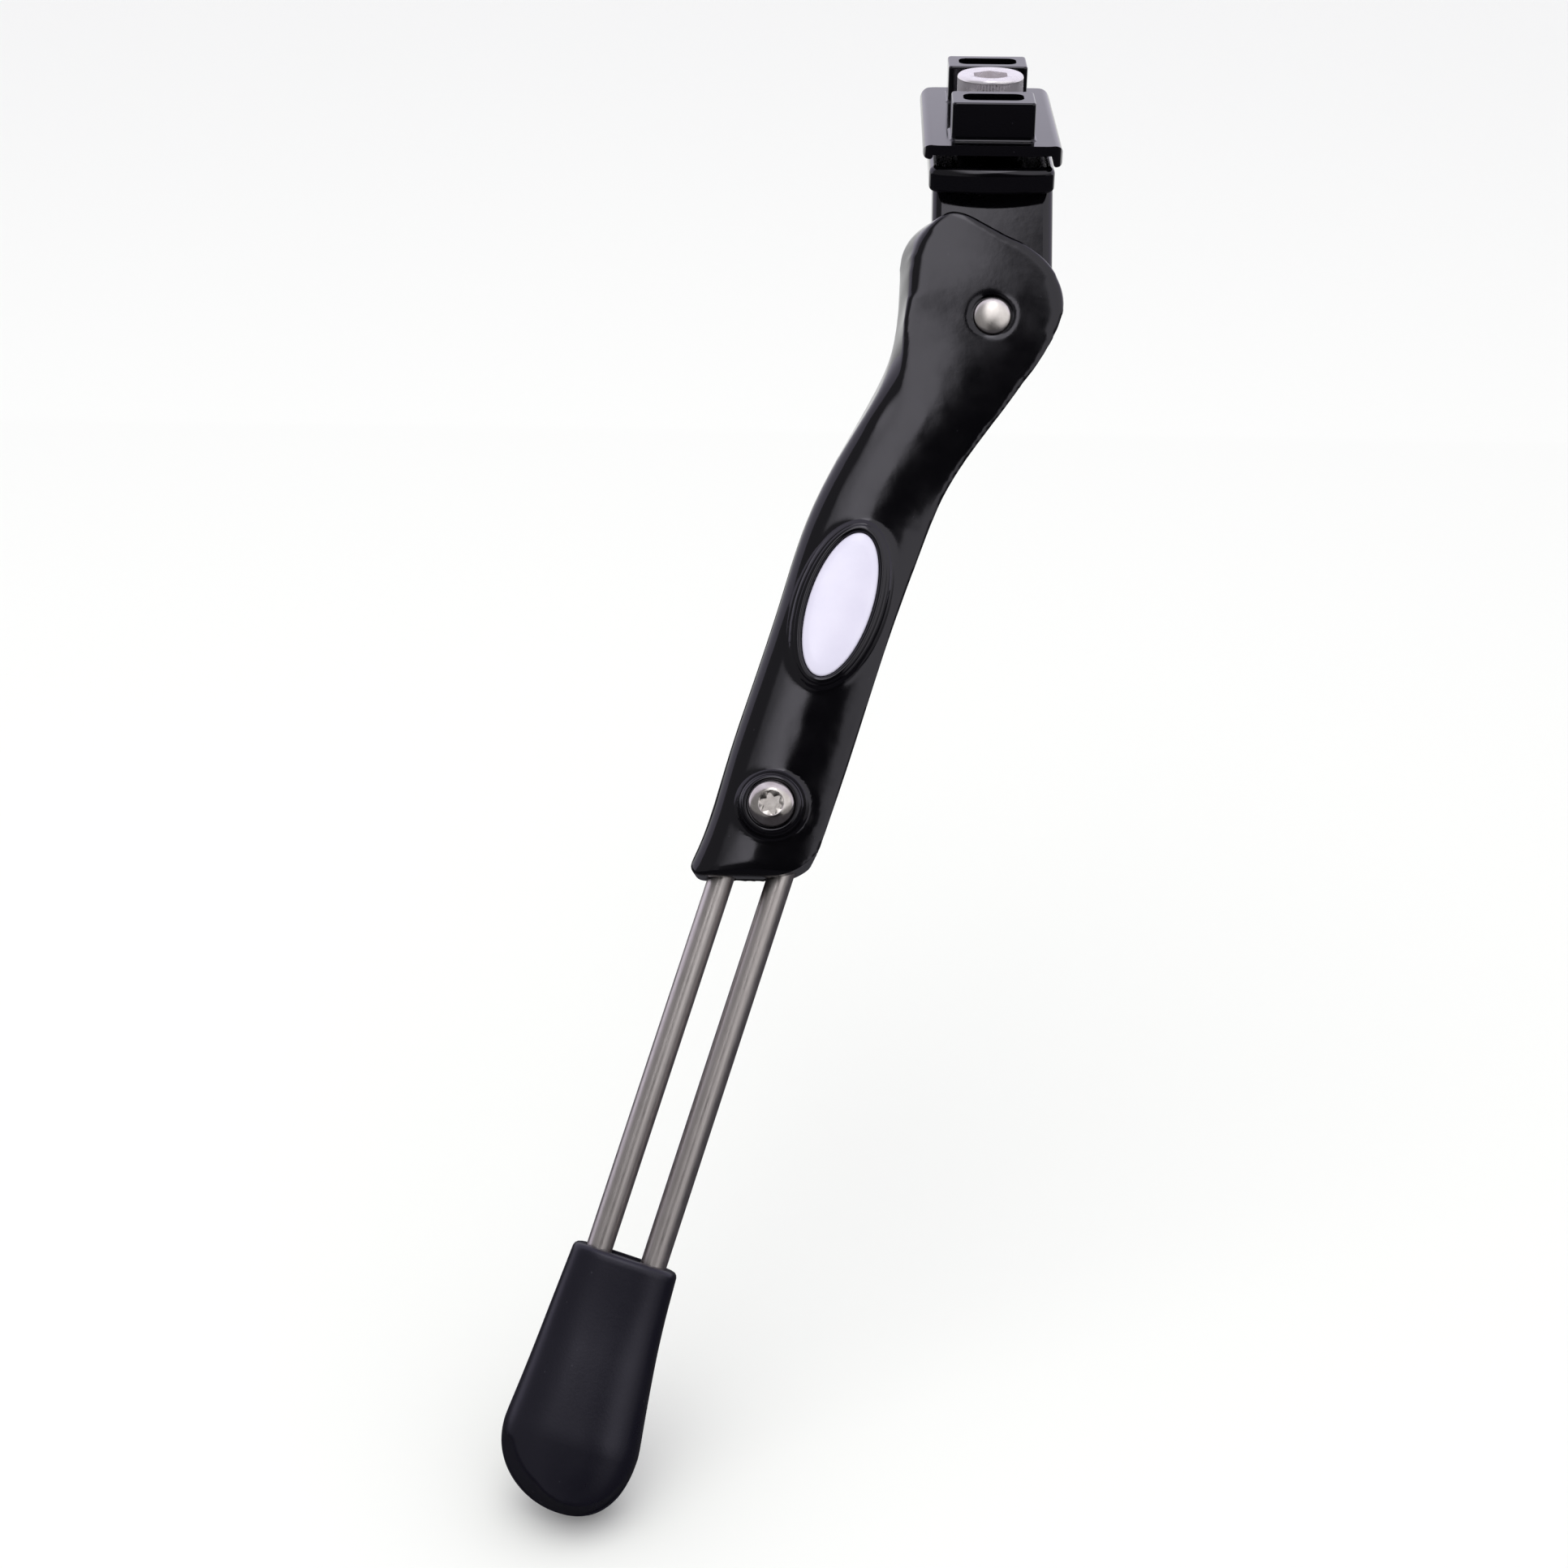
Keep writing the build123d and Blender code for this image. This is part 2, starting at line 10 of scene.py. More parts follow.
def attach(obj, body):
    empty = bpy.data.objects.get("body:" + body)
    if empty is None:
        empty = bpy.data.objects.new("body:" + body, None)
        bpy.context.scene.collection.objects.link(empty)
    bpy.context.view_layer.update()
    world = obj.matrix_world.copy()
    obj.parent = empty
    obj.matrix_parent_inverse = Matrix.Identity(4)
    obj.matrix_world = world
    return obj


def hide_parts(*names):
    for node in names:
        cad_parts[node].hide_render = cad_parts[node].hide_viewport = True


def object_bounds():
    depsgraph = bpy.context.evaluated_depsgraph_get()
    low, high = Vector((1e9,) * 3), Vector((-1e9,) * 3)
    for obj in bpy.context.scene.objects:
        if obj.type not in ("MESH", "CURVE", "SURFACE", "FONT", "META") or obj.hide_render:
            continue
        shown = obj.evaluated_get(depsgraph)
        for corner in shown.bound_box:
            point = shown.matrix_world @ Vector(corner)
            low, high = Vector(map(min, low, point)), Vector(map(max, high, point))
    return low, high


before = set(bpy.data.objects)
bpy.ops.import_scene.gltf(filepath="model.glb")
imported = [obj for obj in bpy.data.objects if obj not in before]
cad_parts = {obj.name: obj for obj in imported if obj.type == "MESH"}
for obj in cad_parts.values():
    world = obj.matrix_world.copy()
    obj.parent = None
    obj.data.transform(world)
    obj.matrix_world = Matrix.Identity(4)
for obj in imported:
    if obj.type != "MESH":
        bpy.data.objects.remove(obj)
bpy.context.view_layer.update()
mm = 0.001


# Frames of the object

splay = radians(36.0)
leg_lean = radians(16.74)
pivot = Vector((0.5, -38.3, -36.0))
pivot_across = 13.3
rear = Vector((1, 0, 0))
post_up = Vector((0, sin(splay), cos(splay)))
out = Vector((0, -cos(splay), sin(splay)))
down_leg = -rear * sin(leg_lean) - post_up * cos(leg_lean)
across_leg = rear * cos(leg_lean) - post_up * sin(leg_lean)
leg_origin = pivot - across_leg * pivot_across
screw_along = 124.4
badge_along = 75.5
badge_across = 0.6


def local_frame(origin, x, y, z):
    """Matrix from millimetres in a local frame to millimetres in the row frame."""
    return Matrix.Translation(origin) @ Matrix((x, y, z)).transposed().to_4x4()


level = Matrix.Identity(4)
swing = local_frame(pivot, rear, post_up, out)
leg = local_frame(leg_origin, across_leg, -down_leg, out)
screw_frame = local_frame(leg_origin + down_leg * screw_along, across_leg, -down_leg, out)
badge_frame = local_frame(
    leg_origin + down_leg * badge_along + across_leg * badge_across, across_leg, -down_leg, out
)
foot_frame = local_frame(leg_origin, across_leg, out, down_leg)


# Modelling helpers

merge_distance = 0.0005
same_place = 0.01


def clamped(value):
    return min(1.0, max(0.0, value))


def eased(part):
    """Part of the way, with a soft start and a soft end."""
    return part * part * (3.0 - 2.0 * part)


def make_active(piece):
    bpy.ops.object.select_all(action="DESELECT")
    piece.select_set(True)
    bpy.context.view_layer.objects.active = piece


def start_box(name, size, middle):
    bpy.ops.object.select_all(action="DESELECT")
    bpy.ops.mesh.primitive_cube_add(size=1.0, location=middle)
    piece = bpy.context.object
    piece.name = name
    piece.scale = size
    bpy.ops.object.transform_apply(location=True, rotation=True, scale=True)
    return piece


def choose(piece, kind, wanted):
    """Selects the vertices, edges or faces of the piece that is being edited, by their place."""
    bpy.ops.mesh.select_mode(type=kind)
    bpy.ops.mesh.select_all(action="DESELECT")
    shape = bmesh.from_edit_mesh(piece.data)
    items = {"VERT": shape.verts, "EDGE": shape.edges, "FACE": shape.faces}[kind]
    for item in items:
        if wanted(item):
            item.select_set(True)
    shape.select_flush_mode()
    bmesh.update_edit_mesh(piece.data)


def move_verts(piece, move):
    """Hands each vertex of the piece that is being edited to a rule that moves it."""
    shape = bmesh.from_edit_mesh(piece.data)
    for vert in shape.verts:
        move(vert)
    bmesh.update_edit_mesh(piece.data)


def along_axis(edge, axis):
    way = edge.verts[1].co - edge.verts[0].co
    return abs(way[axis]) > 0.999 * way.length


def middle_of(edge):
    return (edge.verts[0].co + edge.verts[1].co) / 2


def at_height(item, height):
    return abs(item.co.z - height) < same_place


def bevel_chosen(width, steps):
    bpy.ops.mesh.bevel(offset=width, segments=steps, affect="EDGES")


def start_ring(name, count, half_sizes, height, closed):
    """Round or oval ring to draw a shape up from, with a face in it where the shape is closed."""
    bpy.ops.object.select_all(action="DESELECT")
    bpy.ops.mesh.primitive_circle_add(
        vertices=count,
        radius=1.0,
        fill_type="NGON" if closed else "NOTHING",
        location=(0, 0, height),
    )
    piece = bpy.context.object
    piece.name = name
    piece.scale = (*half_sizes, 1.0)
    bpy.ops.object.transform_apply(location=True, rotation=True, scale=True)
    bpy.ops.object.mode_set(mode="EDIT")
    bpy.ops.mesh.select_mode(type="FACE" if closed else "EDGE")
    bpy.ops.mesh.select_all(action="SELECT")
    return piece


def draw_chosen(rise):
    bpy.ops.mesh.extrude_region_move(
        TRANSFORM_OT_translate={"value": (0, 0, rise), "orient_type": "GLOBAL"}
    )


def raise_ring(ratios, rise):
    draw_chosen(rise)
    bpy.ops.transform.resize(value=(*ratios, 1.0))


def turned(name, count, rings, closed=True):
    """Turned shape about the upright axis, drawn up ring by ring; a ring is its radius and height."""
    radius, height = rings[0]
    piece = start_ring(name, count, (radius, radius), height, closed)
    for next_radius, next_height in rings[1:]:
        ratio = next_radius / radius
        raise_ring((ratio, ratio), next_height - height)
        radius, height = next_radius, next_height
    return piece


def turned_tool(name, radius, start, end):
    """Plain round shape, which cuts a hole or a recess and is used up."""
    tool = turned(name, 64, [(radius, start), (radius, end)])
    close_up(tool, 30.0)
    return tool


def reshape_chosen(piece, radius_at):
    """Moves the chosen vertices to the radius that a rule gives for their angle and height."""

    def move(vert):
        if vert.select:
            angle = atan2(vert.co.y, vert.co.x)
            radius = radius_at(angle, vert.co.z)
            vert.co.x = radius * cos(angle)
            vert.co.y = radius * sin(angle)

    move_verts(piece, move)


def merge_doubles():
    """Doubles merged and faces turned outwards, for the piece that is being edited."""
    bpy.ops.mesh.select_all(action="SELECT")
    bpy.ops.mesh.remove_doubles(threshold=merge_distance)
    bpy.ops.mesh.normals_make_consistent(inside=False)
    bpy.ops.object.mode_set(mode="OBJECT")


def close_up(piece, angle):
    """Ends editing, with smooth shading between the edges that are sharper than the angle."""
    merge_doubles()
    smooth(piece, angle)


def smooth(piece, angle):
    make_active(piece)
    bpy.ops.object.shade_smooth_by_angle(angle=radians(angle))


def combine(piece, tool, operation):
    """Joins, cuts or trims the piece with another shape, which is used up."""
    make_active(piece)
    mixed = piece.modifiers.new(operation.lower(), "BOOLEAN")
    mixed.operation = operation
    mixed.solver = "EXACT"
    mixed.object = tool
    bpy.ops.object.modifier_apply(modifier=mixed.name)
    bpy.data.objects.remove(tool)


def rounded_block(name, size, middle, corner, steps):
    """Block with its upright edges rounded."""
    block = start_box(name, size, middle)
    bpy.ops.object.mode_set(mode="EDIT")
    choose(block, "EDGE", lambda e: along_axis(e, 2))
    bevel_chosen(corner, steps)
    bpy.ops.object.mode_set(mode="OBJECT")
    return block


def finish_piece(piece, seat, body, node, material):
    """Puts a finished piece in its place in the row frame and lets it stand for its solid."""
    piece.data.transform(Matrix.Scale(mm, 4) @ seat)
    piece.data.materials.clear()
    piece.data.materials.append(material)
    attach(piece, body)
    if node:
        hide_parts(node)


# Shared effects of the finishes


def group_of(name, inputs, outputs):
    group = bpy.data.node_groups.new(name, "ShaderNodeTree")
    sockets = group.interface
    sockets.new_socket(name="Place", in_out="INPUT", socket_type="NodeSocketVector")
    for socket, value in inputs:
        made = sockets.new_socket(name=socket, in_out="INPUT", socket_type="NodeSocketFloat")
        made.default_value = value
    for socket in outputs:
        sockets.new_socket(name=socket, in_out="OUTPUT", socket_type="NodeSocketFloat")
    start = group.nodes.new("NodeGroupInput")
    end = group.nodes.new("NodeGroupOutput")
    return group, start, end


def make_cloudy():
    """Soft uneven value between Low and High, at a feature size set by Scale."""
    inputs = [("Scale", 100.0), ("Low", 0.2), ("High", 0.3)]
    group, start, end = group_of("cloudy_value", inputs, ["Value"])
    noise = group.nodes.new("ShaderNodeTexNoise")
    noise.inputs["Detail"].default_value = 4.0
    spread = group.nodes.new("ShaderNodeMapRange")
    spread.inputs["From Min"].default_value = 0.3
    spread.inputs["From Max"].default_value = 0.7
    links = group.links
    links.new(start.outputs["Place"], noise.inputs["Vector"])
    links.new(start.outputs["Scale"], noise.inputs["Scale"])
    links.new(noise.outputs["Fac"], spread.inputs["Value"])
    links.new(start.outputs["Low"], spread.inputs["To Min"])
    links.new(start.outputs["High"], spread.inputs["To Max"])
    links.new(spread.outputs["Result"], end.inputs["Value"])
    return group


def make_specks():
    """Mask of scattered fine specks, such as dust, at a spacing set by Scale and a size set by Size."""
    group, start, end = group_of("fine_specks", [("Scale", 300.0), ("Size", 0.1)], ["Mask"])
    cells = group.nodes.new("ShaderNodeTexVoronoi")
    near = group.nodes.new("ShaderNodeMath")
    near.operation = "LESS_THAN"
    pick = group.nodes.new("ShaderNodeMath")
    pick.operation = "GREATER_THAN"
    pick.inputs[1].default_value = 0.72
    both = group.nodes.new("ShaderNodeMath")
    both.operation = "MULTIPLY"
    parts = group.nodes.new("ShaderNodeSeparateColor")
    links = group.links
    links.new(start.outputs["Place"], cells.inputs["Vector"])
    links.new(start.outputs["Scale"], cells.inputs["Scale"])
    links.new(cells.outputs["Distance"], near.inputs[0])
    links.new(start.outputs["Size"], near.inputs[1])
    links.new(cells.outputs["Color"], parts.inputs["Color"])
    links.new(parts.outputs["Red"], pick.inputs[0])
    links.new(near.outputs["Value"], both.inputs[0])
    links.new(pick.outputs["Value"], both.inputs[1])
    links.new(both.outputs["Value"], end.inputs["Mask"])
    return group


def make_turned_rings():
    """Fine rings about the upright axis of Place, as a lathe leaves them, at a spacing set by Scale."""
    group, start, end = group_of("turned_rings", [("Scale", 4000.0)], ["Value"])
    split = group.nodes.new("ShaderNodeSeparateXYZ")
    flat = group.nodes.new("ShaderNodeCombineXYZ")
    reach = group.nodes.new("ShaderNodeVectorMath")
    reach.operation = "LENGTH"
    line = group.nodes.new("ShaderNodeCombineXYZ")
    noise = group.nodes.new("ShaderNodeTexNoise")
    noise.inputs["Detail"].default_value = 3.0
    links = group.links
    links.new(start.outputs["Place"], split.inputs["Vector"])
    links.new(split.outputs["X"], flat.inputs["X"])
    links.new(split.outputs["Y"], flat.inputs["Y"])
    links.new(flat.outputs["Vector"], reach.inputs[0])
    links.new(reach.outputs["Value"], line.inputs["X"])
    links.new(line.outputs["Vector"], noise.inputs["Vector"])
    links.new(start.outputs["Scale"], noise.inputs["Scale"])
    links.new(noise.outputs["Fac"], end.inputs["Value"])
    return group


def make_drawn_lines():
    """Fine lines along the y axis of Place, as drawing leaves them on bar, at a spacing set by Scale."""
    group, start, end = group_of("drawn_lines", [("Scale", 2500.0)], ["Value"])
    stretch = group.nodes.new("ShaderNodeMapping")
    stretch.inputs["Scale"].default_value = (1.0, 0.012, 1.0)
    noise = group.nodes.new("ShaderNodeTexNoise")
    noise.inputs["Detail"].default_value = 5.0
    links = group.links
    links.new(start.outputs["Place"], stretch.inputs["Vector"])
    links.new(stretch.outputs["Vector"], noise.inputs["Vector"])
    links.new(start.outputs["Scale"], noise.inputs["Scale"])
    links.new(noise.outputs["Fac"], end.inputs["Value"])
    return group


cloudy_value = make_cloudy()
fine_specks = make_specks()
turned_rings = make_turned_rings()
drawn_lines = make_drawn_lines()


# Finishes


def finish_of(name, colour, metallic=0.0, roughness=0.5):
    material = bpy.data.materials.new(name)
    material.use_nodes = True
    shader = material.node_tree.nodes["Principled BSDF"]
    shader.inputs["Base Color"].default_value = (*colour, 1.0)
    shader.inputs["Metallic"].default_value = metallic
    shader.inputs["Roughness"].default_value = roughness
    return material, shader


def seated(material, seat=level):
    """Object coordinates turned into the frame of the piece."""
    coords = material.node_tree.nodes.new("ShaderNodeTexCoord")
    turn = material.node_tree.nodes.new("ShaderNodeMapping")
    back = seat.inverted()
    turn.inputs["Rotation"].default_value = back.to_euler()
    turn.inputs["Location"].default_value = back.translation * mm
    material.node_tree.links.new(coords.outputs["Object"], turn.inputs["Vector"])
    return turn.outputs["Vector"]


def placed(material, group, where, **values):
    node = material.node_tree.nodes.new("ShaderNodeGroup")
    node.node_tree = group
    material.node_tree.links.new(where, node.inputs["Place"])
    for socket, value in values.items():
        node.inputs[socket].default_value = value
    return node.outputs[0]


def clouds_in(material, where, scale):
    """Soft uneven mask from 0 to 1."""
    return placed(material, cloudy_value, where, Scale=scale, Low=0.0, High=1.0)


def uneven_sheen(material, shader, where, scale, low, high):
    """Roughness that wanders between two values."""
    sheen = placed(material, cloudy_value, where, Scale=scale, Low=low, High=high)
    material.node_tree.links.new(sheen, shader.inputs["Roughness"])


def bump_from(material, shader, source, strength, distance, below=None):
    bump = material.node_tree.nodes.new("ShaderNodeBump")
    bump.inputs["Strength"].default_value = strength
    bump.inputs["Distance"].default_value = distance * mm
    links = material.node_tree.links
    links.new(source, bump.inputs["Height"])
    if below:
        links.new(below.outputs["Normal"], bump.inputs["Normal"])
    links.new(bump.outputs["Normal"], shader.inputs["Normal"])
    return bump


def coloured_by(material, shader, mask, plain, marked):
    """Colour that goes from plain to marked where the mask is 1."""
    mix = material.node_tree.nodes.new("ShaderNodeMix")
    mix.data_type = "RGBA"
    mix.inputs["A"].default_value = (*plain, 1.0)
    mix.inputs["B"].default_value = (*marked, 1.0)
    links = material.node_tree.links
    links.new(mask, mix.inputs["Factor"])
    links.new(mix.outputs["Result"], shader.inputs["Base Color"])


def make_black_paint():
    """Thick gloss paint: slight orange peel, uneven gloss and a little dust."""
    plain, dusty = (0.0016, 0.0015, 0.002), (0.016, 0.016, 0.018)
    paint, shader = finish_of("black_gloss_paint", plain)
    shader.inputs["Specular Tint"].default_value = (0.93, 0.90, 1.0, 1.0)
    where = seated(paint)
    uneven_sheen(paint, shader, where, 160.0, 0.07, 0.12)
    bump_from(paint, shader, clouds_in(paint, where, 420.0), 0.05, 0.05)
    dust = placed(paint, fine_specks, where, Scale=420.0, Size=0.06)
    coloured_by(paint, shader, dust, plain, dusty)
    return paint


def make_turned_steel(name, colour, tarnish, seat, low, high, metallic=1.0):
    """Bright steel with the lathe's rings, uneven sheen and faint darker clouds."""
    steel, shader = finish_of(name, colour, metallic=metallic)
    where = seated(steel, seat)
    uneven_sheen(steel, shader, where, 300.0, low, high)
    bump_from(steel, shader, placed(steel, turned_rings, where, Scale=5000.0), 0.16, 0.03)
    coloured_by(steel, shader, clouds_in(steel, where, 500.0), colour, tarnish)
    return steel


def make_drawn_steel():
    """Bar with lines along its length, streaked a little darker and browner."""
    colour, streak = (0.72, 0.675, 0.665), (0.44, 0.40, 0.39)
    steel, shader = finish_of("drawn_bar_steel", colour, metallic=1.0)
    where = seated(steel, leg)
    uneven_sheen(steel, shader, where, 260.0, 0.30, 0.40)
    lines = placed(steel, drawn_lines, where, Scale=2600.0)
    fine = bump_from(steel, shader, clouds_in(steel, where, 2600.0), 0.10, 0.03)
    bump_from(steel, shader, lines, 0.10, 0.05, below=fine)
    coloured_by(steel, shader, lines, colour, streak)
    return steel


def make_inner_steel():
    """Plain steel of the pieces inside the leg."""
    colour, tarnish = (0.42, 0.42, 0.43), (0.30, 0.29, 0.28)
    steel, shader = finish_of("plain_inner_steel", colour, metallic=1.0)
    where = seated(steel)
    uneven_sheen(steel, shader, where, 260.0, 0.35, 0.5)
    coloured_by(steel, shader, clouds_in(steel, where, 400.0), colour, tarnish)
    return steel


def make_rubber():
    """Matt moulded rubber: fine grain, uneven sheen and a little dust."""
    plain, dusty = (0.0035, 0.0033, 0.0075), (0.02, 0.02, 0.024)
    rubber, shader = finish_of("foot_rubber", plain)
    shader.inputs["Specular IOR Level"].default_value = 0.5
    shader.inputs["Specular Tint"].default_value = (0.88, 0.85, 1.0, 1.0)
    where = seated(rubber, leg)
    uneven_sheen(rubber, shader, where, 90.0, 0.27, 0.36)
    bump_from(rubber, shader, clouds_in(rubber, where, 1500.0), 0.12, 0.05)
    dust = placed(rubber, fine_specks, where, Scale=350.0, Size=0.08)
    coloured_by(rubber, shader, dust, plain, dusty)
    return rubber


def make_enamel():
    """White enamel, a little uneven as it flowed."""
    plain, shaded = (0.80, 0.79, 0.85), (0.75, 0.74, 0.81)
    enamel, shader = finish_of("white_enamel", plain)
    where = seated(enamel, badge_frame)
    uneven_sheen(enamel, shader, where, 200.0, 0.14, 0.20)
    coloured_by(enamel, shader, clouds_in(enamel, where, 120.0), plain, shaded)
    bump_from(enamel, shader, clouds_in(enamel, where, 260.0), 0.04, 0.05)
    return enamel


black_paint = make_black_paint()
bolt_steel = make_turned_steel(
    "bright_bolt_steel", (0.84, 0.81, 0.82), (0.74, 0.71, 0.71), level, 0.22, 0.30, metallic=0.6
)
screw_steel = make_turned_steel(
    "bright_screw_steel", (0.66, 0.62, 0.60), (0.50, 0.46, 0.44), screw_frame, 0.16, 0.24
)
pin_steel = make_turned_steel(
    "polished_pin_steel", (0.74, 0.70, 0.68), (0.60, 0.56, 0.54), swing, 0.26, 0.36
)
bar_steel = make_drawn_steel()
inner_steel = make_inner_steel()
rubber = make_rubber()
enamel = make_enamel()

finishes = {
    "mount_base": black_paint,
    "leg_rod": bar_steel,
    "clamp_block": inner_steel,
    "detent_plunger": inner_steel,
    "detent_spring": inner_steel,
}
for node, material in finishes.items():
    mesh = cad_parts[node].data
    mesh.materials.clear()
    mesh.materials.append(material)


# Clamp bolt: ridged cap head with a hexagon socket, threaded shank

bolt_points = 128
plate_top = 5.3
bolt_top = 15.3
bolt_end = -34.7
head_radius = 7.95
head_foot = plate_top + 0.03
ridge_top = 14.25
ridge_depth = 0.935
shoulder = 0.85
shank_radius = 4.95
thread_top = -6.0
thread_pitch = 1.5
thread_depth = 0.8
bolt_half_flat = 4.0


def hexagon_radius(angle, height):
    """Distance out to a hexagon that has corners to the front and back."""
    turn = (angle - pi / 2) % (pi / 3) - pi / 6
    return bolt_half_flat / cos(turn)


def thread_radius(angle, height):
    """Distance out to a thread with flat crests and roots."""
    turn = (height / thread_pitch - angle / (2 * pi)) % 1.0
    return shank_radius - thread_depth * clamped(1.6 * (1.0 - abs(2 * turn - 1.0)) - 0.3)


def in_ridge_root(vert):
    """Every second point round the ridged part of the head."""
    place = round(atan2(vert.co.y, vert.co.x) / (2 * pi) * bolt_points)
    on_side = plate_top + 0.7 < vert.co.z < ridge_top + 0.05 and vert.co.xy.length > 7.0
    return on_side and place % 2


def on_thread(vert):
    return bolt_end + 1.5 < vert.co.z < thread_top and 4.5 < vert.co.xy.length < 5.2


def make_clamp_bolt():
    rings = [(4.1, bolt_end)]
    rings += [(shank_radius, bolt_end + 0.9 + 0.25 * step) for step in range(112)]
    rings += [(shank_radius, head_foot), (7.6, head_foot)]
    rings += [(head_radius, plate_top + 0.35), (head_radius, plate_top + 0.75), (head_radius, ridge_top)]
    for degrees in range(0, 91, 15):
        angle = radians(degrees)
        inward = shoulder * (1.0 - cos(angle))
        rings.append((head_radius - inward, bolt_top - shoulder * (1.0 - sin(angle))))
    rings += [(5.0, bolt_top)]
    bolt = turned("clamp_bolt_turned", bolt_points, rings)
    raise_ring((0.94, 0.94), -0.3)
    reshape_chosen(bolt, hexagon_radius)
    raise_ring((1.0, 1.0), -4.6)
    raise_ring((0.2, 0.2), -1.1)
    choose(bolt, "VERT", in_ridge_root)
    bpy.ops.transform.resize(value=(ridge_depth, ridge_depth, 1.0))
    choose(bolt, "VERT", on_thread)
    reshape_chosen(bolt, thread_radius)
    close_up(bolt, 32.0)
    finish_piece(bolt, level, "bolt", "clamp_bolt", bolt_steel)


# Clamp screw: button head with a six-lobe socket

boss_seat = 11.5
lobe_middle = 2.25
lobe_swing = 0.45
socket_depth = 1.1


def lobe_radius(angle, height):
    return lobe_middle + lobe_swing * cos(6 * angle)


def make_clamp_screw():
    shank = [(2.5, -6.8), (3.0, -6.3), (3.0, boss_seat), (5.1, boss_seat), (5.25, boss_seat + 0.15)]
    crown = [(5.25, 12.2), (5.15, 12.5), (4.9, 12.85), (4.5, 13.2), (4.0, 13.52), (3.5, 13.78)]
    rim = [(3.1, 13.95), (2.95, 13.98), (2.85, 13.9), (2.75, 13.9)]
    screw = turned("clamp_screw_turned", 96, shank + crown + rim)
    raise_ring((0.97, 0.97), -0.12)
    reshape_chosen(screw, lobe_radius)
    raise_ring((0.97, 0.97), -socket_depth)
    close_up(screw, 35.0)
    finish_piece(screw, screw_frame, "screw", "clamp_screw", screw_steel)


# Pivot pin: riveted over into a dome at both cheeks

pin_shoulder = 10.45
pin_dome_radius = 4.45
pin_dome_rise = 1.55


def make_pivot_pin():
    dome = []
    for degrees in range(90, 5, -8):
        angle = radians(degrees)
        dome.append((pin_dome_radius * sin(angle), pin_shoulder + pin_dome_rise * cos(angle)))
    far_dome = [(radius, -height) for radius, height in reversed(dome)]
    pin = turned("pivot_pin_riveted", 64, far_dome + [(4.0, -9.0), (4.0, 9.0)] + dome)
    close_up(pin, 40.0)
    finish_piece(pin, swing, "leg", "pivot_pin", pin_steel)


# Badge: bare oval plate with a low dome

badge_floor = 8.9
badge_edge = 9.85
badge_half_sizes = (7.32, 17.42)


def make_badge():
    badge = turned("badge_domed", 128, [(1.0, badge_floor), (1.0, badge_edge)])
    bpy.ops.mesh.select_all(action="SELECT")
    bpy.ops.transform.resize(value=(*badge_half_sizes, 1.0))
    choose(badge, "FACE", lambda f: len(f.verts) > 4 and f.calc_center_median().z > 9.0)
    for inset, rise in ((0.08, 0.16), (0.14, 0.13), (0.3, 0.12)):
        bpy.ops.mesh.inset(thickness=inset, depth=rise)
    for ratio, rise in ((0.85, 0.10), (0.75, 0.08), (0.6, 0.05), (0.4, 0.02)):
        raise_ring((ratio, ratio), rise)
    close_up(badge, 50.0)
    finish_piece(badge, badge_frame, "leg", "badge", enamel)


# Leg housing: the casting with its edges and joins softened, as thick paint leaves them

grain_size = 0.65
cheek_face = 11.2
pin_place = Vector((pivot_across, 0.0))
pin_bore_reach = 4.4
recess_radius = 4.95
recess_floors = (10.2, -13.0)
recess_height = 2.8
rod_across = 6.45
rod_bore_radius = 3.15
rod_bore_start = 54.2
rod_bore_end = 160.0

# Places to smooth further: middle, reach and number of passes
housing_joins = (
    (Vector((-9.0, 7.0, 9.0)), 9.0, 16),
    (Vector((28.0, 7.0, 6.0)), 9.0, 12),
)

# Edge of the head: its middle, the number of directions looked in, and the fade at the ends in degrees
head_middle = Vector((12.0, 2.0))
head_turns = 144
edge_fade = 14.0

# Round of the rear lower corner, and the way that points out of the lower edge
corner_middle = Vector((0.65, -127.3))
corner_radius = 13.0
lower_edge_out = Vector((0.288, -0.958))


def make_rod_bore(side):
    bore = turned_tool("rod_bore", rod_bore_radius, rod_bore_start, rod_bore_end)
    turn = Matrix.Rotation(radians(90.0), 4, "X")
    bore.data.transform(Matrix.Translation((side, 0, 0)) @ turn)
    return bore


def make_pin_recess(floor):
    recess = turned_tool("pin_recess", recess_radius, floor, floor + recess_height)
    recess.data.transform(Matrix.Translation(pin_place.to_3d()))
    return recess


def press_boss_foot(vert):
    """Draws in the foot of the boss of the screw, to a small round."""
    away = Vector((vert.co.x, vert.co.y + screw_along)).length
    if 6.9 < away < 10.2 and vert.co.z > 8.0:
        face = 9.32 - (vert.co.x / 13.3) ** 2
        vert.co.z = min(vert.co.z, face + 2.2 * max(0.0, 8.3 - away) ** 2)


def draw_in_flank(vert):
    """Slopes the left flank of the head, so that it runs on into the flank of the bend."""
    flank_start = -2.5
    if vert.co.z > 0.0 and vert.co.x < flank_start:
        flank = min(1.0, (flank_start - vert.co.x) / 6.0)
        rise = clamped((vert.co.y - 4.0) / 4.5)
        vert.co.x += 1.5 * flank * eased(rise) * (vert.co.z / cheek_face) ** 1.5


def round_lower_corner(vert):
    """Draws the rear lower corner in to a wide round."""
    away = vert.co.xy - corner_middle
    beside = lower_edge_out.x * away.y - lower_edge_out.y * away.x
    if away.y < 0.0 and beside > 0.0 and away.length > corner_radius:
        vert.co.xy = corner_middle + away.normalized() * corner_radius


